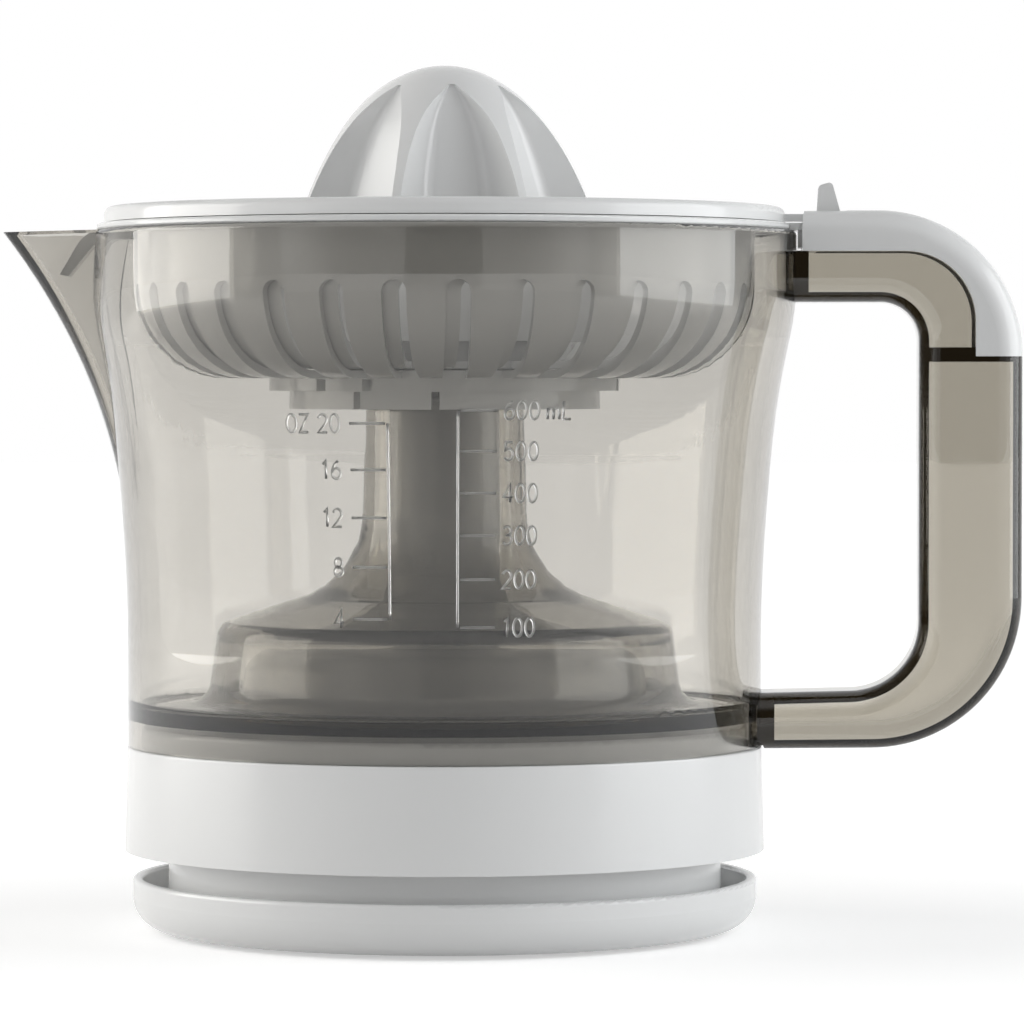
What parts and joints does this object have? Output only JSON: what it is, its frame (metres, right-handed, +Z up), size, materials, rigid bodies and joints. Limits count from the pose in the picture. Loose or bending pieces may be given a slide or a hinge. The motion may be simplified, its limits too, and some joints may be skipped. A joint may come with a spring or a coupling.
{
  "type": "electric citrus press",
  "caption": "Electric citrus press: white motor base, lift-off smoked jug with spout and handle, slotted strainer basket, pulp regulator bowl and ridged reamer driven by a geared motor.",
  "frame": {"origin": "middle of the whole width on the standing plane under the feet", "axes": "+Z up along the drive axis, +X towards the handle, the spout to -X, the marked front to -Y"},
  "size_m": [0.2137, 0.1476, 0.1814],
  "materials": {
    "white_gloss": "glossy white ABS",
    "smoked_clear": "clear smoke-tinted moulding",
    "black_rubber": "matte",
    "steel": "plain",
    "core_iron": "dark, varnished",
    "black_plastic": "matte",
    "natural_plastic": "natural acetal",
    "copper_wire": "enamelled winding",
    "bush_brass": "turned"
  },
  "bodies": {
    "base": {"motor_housing": "white_gloss", "cord_spool": "white_gloss", "bottom_plate": "white_gloss", "base_tray": "white_gloss", "rubber_feet": "black_rubber", "base_screws": "steel", "plate_screws": "steel", "cord_gland": "black_rubber", "stator_core": "core_iron", "coil_bobbins": "black_plastic", "motor_coils": "copper_wire", "idler_pins": "steel", "rotor_bearings": "bush_brass", "gear_plate": "steel", "motor_spacers": "steel", "motor_screws": "steel", "upper_bush": "bush_brass", "lower_bush": "bush_brass", "return_spring": "steel", "start_switch": "black_plastic"},
    "rotor": {"rotor_magnet": "core_iron", "rotor_shaft": "steel", "motor_pinion": "bush_brass"},
    "first_idler": {"first_idler": "natural_plastic"},
    "second_idler": {"second_idler": "natural_plastic"},
    "drive_gear": {"output_gear": "natural_plastic"},
    "drive_shaft": {"drive_shaft": "steel", "shaft_clip": "steel"},
    "switch_button": {"switch_button": "natural_plastic"},
    "jug": {"jug": "smoked_clear", "jug_handle": "smoked_clear", "handle_cap": "white_gloss"},
    "basket": {"strainer_basket": "white_gloss"},
    "regulator": {"pulp_regulator": "white_gloss"},
    "reamer": {"reamer_cone": "white_gloss"}
  },
  "joints": [
    {"name": "jug_lift", "type": "slide", "parent": "base", "child": "jug", "axis": [0, 0, 1], "range_m": [0, 0.11]},
    {"name": "basket_lift", "type": "slide", "parent": "jug", "child": "basket", "axis": [0, 0, 1], "range_m": [0, 0.05]},
    {"name": "pulp_lever", "type": "hinge", "parent": "basket", "child": "regulator", "pos_m": [-0.01376, 0, 0.15], "axis": [0, 0, 1], "range_deg": [-2.8, 2.8]},
    {"name": "reamer_spin", "type": "hinge", "parent": "basket", "child": "reamer", "pos_m": [-0.01376, 0, 0.13], "axis": [0, 0, 1], "continuous": true},
    {"name": "drive_spin", "type": "hinge", "parent": "base", "child": "drive_gear", "pos_m": [-0.01376, 0, 0.045], "axis": [0, 0, 1], "continuous": true},
    {"name": "second_idler_spin", "type": "hinge", "parent": "base", "child": "second_idler", "pos_m": [-0.02211, 0.02295, 0.04], "axis": [0, 0, 1], "continuous": true},
    {"name": "first_idler_spin", "type": "hinge", "parent": "base", "child": "first_idler", "pos_m": [-0.00775, 0.03541, 0.034], "axis": [0, 0, 1], "continuous": true},
    {"name": "rotor_spin", "type": "hinge", "parent": "base", "child": "rotor", "pos_m": [0.00624, 0.027, 0.02], "axis": [0, 0, 1], "continuous": true},
    {"name": "shaft_press", "type": "slide", "parent": "drive_gear", "child": "drive_shaft", "axis": [0, 0, 1], "range_m": [-0.0025, 0], "stiffness_N_per_m": 1500, "springref_m": 0.003, "deforming": ["return_spring"]},
    {"name": "switch_press", "type": "slide", "parent": "base", "child": "switch_button", "axis": [0, 0, 1], "range_m": [-0.0025, 0]}
  ],
  "couplings": [
    {"joint": "first_idler_spin", "follows": "rotor_spin", "ratio": -0.28571},
    {"joint": "second_idler_spin", "follows": "rotor_spin", "ratio": 0.081633},
    {"joint": "drive_spin", "follows": "rotor_spin", "ratio": -0.023324},
    {"joint": "reamer_spin", "follows": "rotor_spin", "ratio": -0.023324},
    {"joint": "switch_press", "follows": "shaft_press", "ratio": 1}
  ]
}
